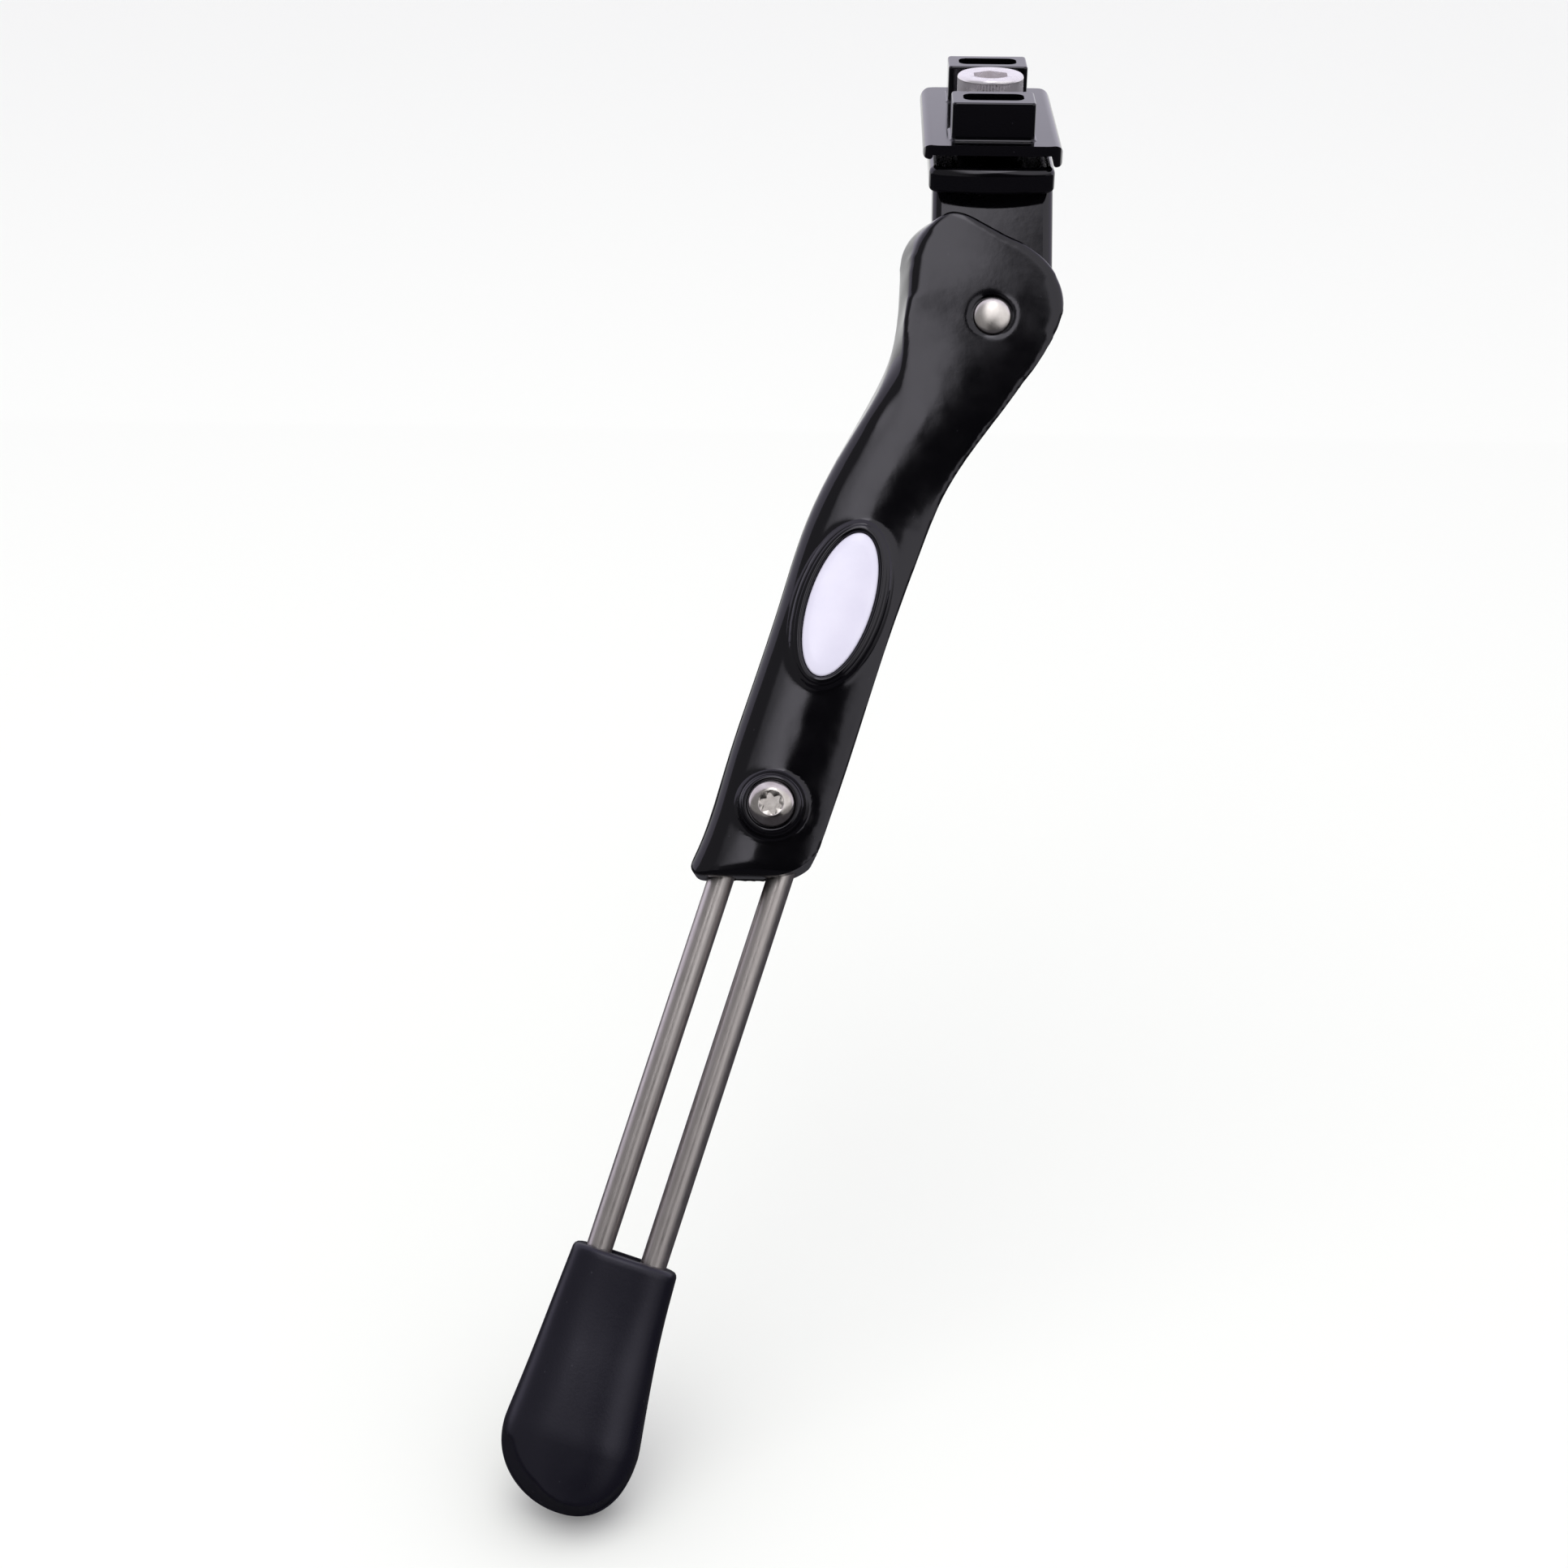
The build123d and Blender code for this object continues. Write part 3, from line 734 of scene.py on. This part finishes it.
def evened(values, spread):
    """Each value as the weighted middle of the values about it, in a closed round."""
    span = range(-3 * spread, 3 * spread + 1)
    weights = [exp(-0.5 * (step / spread) ** 2) for step in span]
    whole = sum(weights)
    count = len(values)
    result = []
    for place in range(count):
        near = [values[(place + step) % count] for step in span]
        result.append(sum(weight * value for weight, value in zip(weights, near)) / whole)
    return result


def between(values, turn):
    """Value at a turn that lies between the middles of two directions."""
    first = int(turn - 0.5) % len(values)
    part = (turn - 0.5) % 1.0
    return values[first] * (1.0 - part) + values[(first + 1) % len(values)] * part


def even_edge(casting, low, high, face_height):
    """Draws the head's edge to an even curve between two turns, in degrees, about its middle.

    With a face height, it is the edge of the front face, and the flank behind follows less and less.
    """
    shape = bmesh.from_edit_mesh(casting.data)
    places = []
    reach = [1.0] * head_turns
    for vert in shape.verts:
        away = vert.co.xy - head_middle
        turn = (atan2(away.y, away.x) / (2.0 * pi)) % 1.0 * head_turns
        places.append((vert, away, turn))
        if face_height is None or vert.co.z > face_height:
            slot = int(turn) % head_turns
            reach[slot] = max(reach[slot], away.length)
    nearness = [1.0 / length for length in reach]
    now = evened(nearness, 1)
    wanted = evened(nearness, 5)
    for vert, away, turn in places:
        degrees = (turn * 360.0 / head_turns - low) % 360.0
        fade = min(1.0, degrees / edge_fade, (high - low - degrees) / edge_fade)
        if fade > 0.0:
            edge_now = between(now, turn)
            share = fade * eased(clamped((away.length * edge_now - 0.45) / 0.45))
            if face_height is not None:
                share *= clamped(vert.co.z / cheek_face) ** 1.5
            change = edge_now / between(wanted, turn) - 1.0
            vert.co.xy = head_middle + away * (1.0 + change * share)
    bmesh.update_edit_mesh(casting.data)


def make_leg_housing():
    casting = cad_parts["leg_housing"].copy()
    casting.data = casting.data.copy()
    casting.name = "leg_housing_painted"
    bpy.context.collection.objects.link(casting)
    casting.data.transform((Matrix.Scale(mm, 4) @ leg).inverted())
    make_active(casting)
    bpy.ops.object.mode_set(mode="EDIT")
    merge_doubles()
    bpy.ops.mesh.customdata_custom_splitnormals_clear()
    casting.data.use_remesh_preserve_attributes = False
    casting.data.remesh_voxel_size = grain_size
    bpy.ops.object.voxel_remesh()
    bpy.ops.object.mode_set(mode="EDIT")
    choose(casting, "VERT", lambda v: (v.co.xy - pin_place).length > pin_bore_reach)
    bpy.ops.mesh.vertices_smooth(factor=0.5, repeat=4)
    move_verts(casting, press_boss_foot)
    move_verts(casting, draw_in_flank)
    even_edge(casting, 130.0, 222.0, 10.3)
    even_edge(casting, -50.0, 95.0, None)
    move_verts(casting, round_lower_corner)
    for place, reach, times in housing_joins:
        choose(casting, "VERT", lambda v: (v.co - place).length < reach)
        bpy.ops.mesh.vertices_smooth(factor=0.5, repeat=times)
    bpy.ops.object.mode_set(mode="OBJECT")
    for side in (-rod_across, rod_across):
        combine(casting, make_rod_bore(side), "DIFFERENCE")
    for floor in recess_floors:
        combine(casting, make_pin_recess(floor), "DIFFERENCE")
    smooth(casting, 45.0)
    finish_piece(casting, leg, "leg", "leg_housing", black_paint)


# Rounded bead over the oval rim and rounded collar over the boss of the screw

rim_half_width = 7.4
rim_half_length = 17.5


def make_oval_bead():
    """Bead round the badge; each ring is how far it lies outside the badge's edge, and its height."""
    inner = [(0.12, 9.2), (0.14, 10.05), (0.3, 10.33), (0.6, 10.47), (1.0, 10.5)]
    outer = [(1.45, 10.42), (1.85, 10.2), (2.2, 9.85), (2.5, 9.5), (2.85, 9.3), (3.3, 9.15), (3.7, 8.8)]
    away, height = inner[0]
    start = (rim_half_width + away, rim_half_length + away)
    rim = start_ring("oval_bead", 128, start, height, False)
    for next_away, next_height in inner[1:] + outer:
        wider = (rim_half_width + next_away) / (rim_half_width + away)
        longer = (rim_half_length + next_away) / (rim_half_length + away)
        raise_ring((wider, longer), next_height - height)
        away, height = next_away, next_height
    close_up(rim, 60.0)
    finish_piece(rim, badge_frame, "leg", None, black_paint)


def make_screw_collar():
    """Collar round the screw's head; each ring is its radius and height."""
    inner = [(5.4, 11.3), (5.45, 11.62), (5.65, 11.85), (6.0, 11.95)]
    outer = [(6.35, 11.88), (6.65, 11.65), (6.85, 11.3), (6.98, 10.9), (7.1, 10.4)]
    foot = [(7.3, 9.95), (7.65, 9.6), (8.1, 9.35), (8.6, 8.9)]
    collar = turned("screw_collar", 96, inner + outer + foot, closed=False)
    close_up(collar, 60.0)
    finish_piece(collar, screw_frame, "leg", None, black_paint)


# Rubber foot: spade-shaped sleeve over the hairpin, bevelled round the sole

foot_top = 231.0
foot_bulge = 272.0
foot_tip = 288.6
foot_half_width = 15.6
foot_half_depth = 9.5
foot_side_wall = 3.0
foot_lip = 1.3
foot_shift = 1.0
tip_shift = 2.2
rod_slot_size = (19.2, 6.4, 36.0)
rod_slot_middle = (0, 0, 240.0)
rod_slot_corner = 3.15

# Stations down the leg: distance, shift, half width and half depth
foot_stations = (
    (foot_top, 0.0, 12.2, 6.5),
    (245.0, 0.0, 12.95, 6.8),
    (258.6, 0.5, 14.1, 8.25),
    (foot_bulge, foot_shift, foot_half_width, foot_half_depth),
)


def foot_drop(along):
    """Part of the way from the widest place to the tip."""
    return min(max((along - foot_bulge) / (foot_tip - foot_bulge), 0.0), 0.9995)


def foot_section(along):
    """Shift, half width and half depth of the foot at a distance down the leg."""
    for near, far in zip(foot_stations, foot_stations[1:]):
        if along <= far[0]:
            part = (along - near[0]) / (far[0] - near[0])
            return [a + (b - a) * part for a, b in zip(near[1:], far[1:])]
    drop = foot_drop(along)
    half_width = foot_half_width * (1.0 - drop**2.3) ** 0.47
    return [foot_shift + tip_shift * drop * drop, half_width, foot_half_depth]


def eased_section(along):
    """Section averaged over its neighbours, so that one station flows into the next."""
    reach = max(0.0, min(6.0, along - foot_top, foot_bulge - along))
    sections = [foot_section(along + reach * step) for step in (-1.0, -0.5, 0.0, 0.5, 1.0)]
    return [sum(values) / len(sections) for values in zip(*sections)]


def rounded_to(part, half):
    """Distance out on a section that is fuller than an oval."""
    return half * abs(part) ** 0.7 * (1 if part > 0 else -1)


def sole_depth(offset, drop):
    """Half depth that the slope round the sole leaves, wider to the left than to the right."""
    inward = 1.0 - ((offset / foot_half_width) ** 2 + drop * drop) ** 0.5
    steepness = 1.35 + 1.5 * clamped(offset / foot_half_width + 0.3)
    above_sole = 40.0 * max(0.0, 0.25 - drop)
    return foot_side_wall + 16.0 * steepness * max(0.0, inward) + above_sole


def lesser(first, second, softness):
    """The lesser of two values, with a soft change from one to the other."""
    apart = max(0.0, softness - abs(first - second))
    return min(first, second) - apart * apart / (4.0 * softness)


def shape_foot(vert):
    """Takes a vertex of a plain round column to its place on the foot."""
    shift, half_width, half_depth = eased_section(vert.co.z)
    below_lip = min(1.0, (vert.co.z - foot_top) / foot_lip)
    draw_in = foot_lip * (1.0 - (2.0 * below_lip - below_lip * below_lip) ** 0.5)
    offset = rounded_to(vert.co.x, half_width - draw_in)
    depth = rounded_to(vert.co.y, half_depth - draw_in)
    sloped = lesser(abs(depth), sole_depth(offset, foot_drop(vert.co.z)), 0.5)
    vert.co.x = shift + offset
    vert.co.y = max(0.0, sloped) * (1 if depth > 0 else -1)


def make_rubber_foot():
    heights = [foot_top, 231.2, 231.6, 232.2] + [233.2 + 1.25 * step for step in range(31)]
    heights += [foot_tip - 16.0 * (1.0 - step / 40.0) ** 2 for step in range(41)]
    foot = turned("rubber_foot_moulded", 160, [(1.0, height) for height in heights])
    move_verts(foot, shape_foot)
    close_up(foot, 60.0)
    rod_slot = rounded_block("rod_slot", rod_slot_size, rod_slot_middle, rod_slot_corner, 8)
    combine(foot, rod_slot, "DIFFERENCE")
    smooth(foot, 60.0)
    finish_piece(foot, foot_frame, "extension", "rubber_foot", rubber)


# Top plate: bent sheet with two pocketed ears

plate_half_width = 16.3
plate_half_length = 30.0
plate_thickness = 2.3
plate_outline = (32.62, 60.0, 30.0)
bolt_hole_radius = 5.15
ear_away = 19.3
ear_size = (19.4, 12.4, 10.0)
ear_middle = 9.1
ear_top = 14.1
ear_slot_size = (14.2, 6.8, 10.0)
ear_slot_middle = 11.5
ear_foot_longest = 19.0

# Turned-down edges: side, depth below the sheet and radius of the bend
turned_edges = ((-1, 1.1, 2.2), (1, 2.7, 3.6))


def make_ear(away):
    ear = rounded_block("ear", ear_size, (0, away, ear_middle), 1.0, 5)
    bpy.ops.object.mode_set(mode="EDIT")
    choose(ear, "EDGE", lambda e: all(at_height(vert, ear_top) for vert in e.verts))
    bevel_chosen(0.6, 4)
    bpy.ops.object.mode_set(mode="OBJECT")
    slot = rounded_block("ear_slot", ear_slot_size, (0, away, ear_slot_middle), 2.2, 6)
    combine(ear, slot, "DIFFERENCE")
    return ear


def at_ear_foot(edge):
    def near(vert):
        across = abs(vert.co.x) < ear_size[0] / 2 + 0.02
        along = abs(abs(vert.co.y) - ear_away) < ear_size[1] / 2 + 0.02
        return at_height(vert, plate_top) and across and along

    return all(near(vert) for vert in edge.verts) and edge.calc_length() < ear_foot_longest


def make_top_plate():
    size = (2 * plate_half_width, 2 * plate_half_length, plate_thickness)
    plate = start_box("top_plate_pressed", size, (0, 0, plate_top - plate_thickness / 2))
    underside = plate_top - plate_thickness
    inner = plate_half_width - plate_thickness

    def lies_along(edge, height):
        return along_axis(edge, 1) and abs(middle_of(edge).z - height) < same_place

    bpy.ops.object.mode_set(mode="EDIT")
    for side in (-inner, inner):
        bpy.ops.mesh.select_all(action="SELECT")
        bpy.ops.mesh.bisect(plane_co=(side, 0, 0), plane_no=(1, 0, 0))
    for side, drop, bend in turned_edges:
        choose(
            plate,
            "FACE",
            lambda f: f.normal.z < -0.9 and f.calc_center_median().x * side > inner,
        )
        draw_chosen(-drop)
    for side, drop, bend in turned_edges:
        edge_at = side * plate_half_width
        choose(
            plate,
            "EDGE",
            lambda e: lies_along(e, plate_top) and abs(middle_of(e).x - edge_at) < same_place,
        )
        bevel_chosen(bend, 8)
    for side, drop, bend in turned_edges:
        choose(plate, "EDGE", lambda e: lies_along(e, underside - drop))
        bevel_chosen(0.9, 4)
    bpy.ops.object.mode_set(mode="OBJECT")
    combine(plate, rounded_block("plate_outline", plate_outline, (0, 0, 0), 4.0, 8), "INTERSECT")
    for side in (-1, 1):
        combine(plate, make_ear(side * ear_away), "UNION")
    make_active(plate)
    bpy.ops.object.mode_set(mode="EDIT")
    choose(plate, "EDGE", at_ear_foot)
    bevel_chosen(0.7, 4)
    bpy.ops.object.mode_set(mode="OBJECT")
    combine(plate, turned_tool("bolt_hole", bolt_hole_radius, -2.0, 20.0), "DIFFERENCE")
    make_active(plate)
    rounding = plate.modifiers.new("broken_edges", "BEVEL")
    rounding.width = 0.4
    rounding.segments = 3
    rounding.limit_method = "ANGLE"
    rounding.angle_limit = radians(40.0)
    bpy.ops.object.modifier_apply(modifier=rounding.name)
    smooth(plate, 40.0)
    even = plate.modifiers.new("even_faces", "WEIGHTED_NORMAL")
    even.keep_sharp = True
    bpy.ops.object.modifier_apply(modifier=even.name)
    finish_piece(plate, level, "top_clamp", "top_plate", black_paint)


make_clamp_bolt()
make_clamp_screw()
make_pivot_pin()
make_badge()
make_leg_housing()
make_oval_bead()
make_screw_collar()
make_rubber_foot()
make_top_plate()


# Floor, light and camera

floor_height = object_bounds()[0].z
studio_middle = Vector((-40.0, -90.0, -120.0))
softbox_place = Vector((-150, -150, 1000))
softbox_width = 900
softbox_power = 2.6
camera_place = Vector((-28.4, -596.9, 144.3))
camera_turn = radians(-2.0)
camera_drop = radians(28.5)
camera_roll = radians(0.15)
sensor_width = 36.0
focal_pixels = 3000.0
picture_pixels = 1932.0


def make_floor():
    bpy.ops.object.select_all(action="DESELECT")
    bpy.ops.mesh.primitive_plane_add(size=12.0, location=(0, 0, floor_height))
    floor = bpy.context.object
    floor.name = "studio_floor"
    pale, shader = finish_of("pale_floor", (0.945, 0.978, 0.855), roughness=0.8)
    shader.inputs["Specular IOR Level"].default_value = 0.1
    floor.data.materials.append(pale)


def make_world():
    world = bpy.data.worlds.new("studio")
    bpy.context.scene.world = world
    world.use_nodes = True
    back = world.node_tree.nodes["Background"]
    back.inputs["Color"].default_value = (0.90, 0.87, 1.0, 1.0)
    back.inputs["Strength"].default_value = 1.06


def stepped(tree, source, start, end, low, high):
    """Value that goes softly from low to high as the source goes from start to end."""
    fade = tree.nodes.new("ShaderNodeMapRange")
    fade.interpolation_type = "SMOOTHSTEP"
    fade.inputs["From Min"].default_value = start
    fade.inputs["From Max"].default_value = end
    fade.inputs["To Min"].default_value = low
    fade.inputs["To Max"].default_value = high
    tree.links.new(source, fade.inputs["Value"])
    return fade.outputs["Result"]


def reckoned(tree, operation, first, second):
    """Result of a sum on two values, each the output of a node or a number."""
    sums = tree.nodes.new("ShaderNodeMath")
    sums.operation = operation
    for socket, value in zip(sums.inputs, (first, second)):
        if isinstance(value, float):
            socket.default_value = value
        else:
            tree.links.new(value, socket)
    return sums.outputs["Value"]


def make_painted_reflection_windows():
    """Painted reflection on a dark sheet: tall soft glowing window to the left, weaker one to the right,
    dark gap between them.
    """
    reflection_paint = bpy.data.materials.new("painted_reflection_windows")
    reflection_paint.use_nodes = True
    tree = reflection_paint.node_tree
    tree.nodes.clear()
    end = tree.nodes.new("ShaderNodeOutputMaterial")
    glow = tree.nodes.new("ShaderNodeEmission")
    coords = tree.nodes.new("ShaderNodeTexCoord")
    ray = tree.nodes.new("ShaderNodeVectorMath")
    ray.operation = "NORMALIZE"
    split = tree.nodes.new("ShaderNodeSeparateXYZ")
    tree.links.new(coords.outputs["Object"], ray.inputs[0])
    tree.links.new(ray.outputs["Vector"], split.inputs["Vector"])
    side, height = split.outputs["X"], split.outputs["Z"]
    lean = reckoned(tree, "SUBTRACT", side, reckoned(tree, "MULTIPLY", height, 0.75))
    # Glowing windows that show only as painted highlights and sheen on glossy surfaces
    left = stepped(tree, side, -0.26, -0.08, 0.0, 2.3)
    left = reckoned(tree, "MULTIPLY", left, stepped(tree, lean, -0.58, -0.552, 1.0, 0.0))
    left = reckoned(tree, "MULTIPLY", left, stepped(tree, height, 0.57, 0.67, 0.0, 1.0))
    raised = reckoned(tree, "ADD", side, reckoned(tree, "MULTIPLY", height, 0.6))
    right = stepped(tree, raised, 0.56, 0.605, 0.0, 1.1)
    right = reckoned(tree, "MULTIPLY", right, stepped(tree, height, 0.15, 0.5, 0.3, 1.0))
    # Painted glow in the reflections, strong to the left and fading to the right
    painted_glow = stepped(tree, side, -0.3, 0.0, 0.28, 0.015)
    light = reckoned(tree, "ADD", reckoned(tree, "ADD", left, right), painted_glow)
    tree.links.new(light, glow.inputs["Strength"])
    tree.links.new(glow.outputs["Emission"], end.inputs["Surface"])
    return reflection_paint


# Gives a cover a finish that only gloss sees, so what it shows is a painted reflection
def only_in_gloss(cover, reflection_paint):
    cover.data.materials.append(reflection_paint)
    cover.visible_camera = False
    cover.visible_diffuse = False
    cover.visible_shadow = False
    cover.visible_transmission = False


def make_surround():
    """Half dome and apron on the camera's side, which only gloss sees: painted reflections, glowing
    windows on the dome and a dark sheet on the apron.
    """
    bpy.ops.object.select_all(action="DESELECT")
    bpy.ops.mesh.primitive_uv_sphere_add(segments=64, ring_count=32, radius=20.0)
    dome = bpy.context.object
    dome.name = "painted_reflection_dome"
    bpy.ops.object.mode_set(mode="EDIT")
    bpy.ops.mesh.select_all(action="SELECT")
    bpy.ops.mesh.bisect(plane_co=(0, 0.1, 0), plane_no=(0, 1, 0), clear_outer=True)
    bpy.ops.object.mode_set(mode="OBJECT")
    dome.location = studio_middle * mm
    only_in_gloss(dome, make_painted_reflection_windows())
    # Dark sheet over the floor in front, seen only in gloss: a painted dark reflection where the floor
    # itself is white
    bpy.ops.object.select_all(action="DESELECT")
    bpy.ops.mesh.primitive_plane_add(size=2.0, location=(0, -2.75, floor_height + mm))
    apron = bpy.context.object
    apron.name = "painted_dark_reflection_apron"
    apron.scale = (6.0, 3.25, 1.0)
    dark, shader = finish_of("painted_dark_reflection_sheet", (0.06, 0.06, 0.06), roughness=1.0)
    shader.inputs["Specular IOR Level"].default_value = 0.0
    only_in_gloss(apron, dark)


def make_softbox():
    """Wide soft lamp overhead, which gloss doesn't see."""
    bpy.ops.object.light_add(type="AREA", location=softbox_place * mm)
    lamp = bpy.context.object
    lamp.name = "overhead_softbox"
    lamp.data.shape = "RECTANGLE"
    lamp.data.size = softbox_width * mm
    lamp.data.size_y = softbox_width * mm
    lamp.data.energy = softbox_power
    aim = studio_middle - softbox_place
    lamp.rotation_euler = aim.to_track_quat("-Z", "Y").to_euler()
    lamp.visible_glossy = False


def make_camera():
    bpy.ops.object.camera_add(location=camera_place * mm)
    camera = bpy.context.object
    camera.name = "camera"
    level_ahead = cos(camera_drop)
    ahead = Vector(
        (sin(camera_turn) * level_ahead, cos(camera_turn) * level_ahead, -sin(camera_drop))
    )
    aim = ahead.to_track_quat("-Z", "Y").to_matrix()
    camera.rotation_euler = (aim @ Matrix.Rotation(camera_roll, 3, "Z")).to_euler()
    camera.data.sensor_fit = "HORIZONTAL"
    camera.data.sensor_width = sensor_width
    camera.data.lens = focal_pixels / picture_pixels * sensor_width
    camera.data.clip_start = 0.01
    bpy.context.scene.camera = camera


make_floor()
make_world()
make_surround()
make_softbox()
make_camera()
bpy.context.scene.view_settings.view_transform = "Standard"
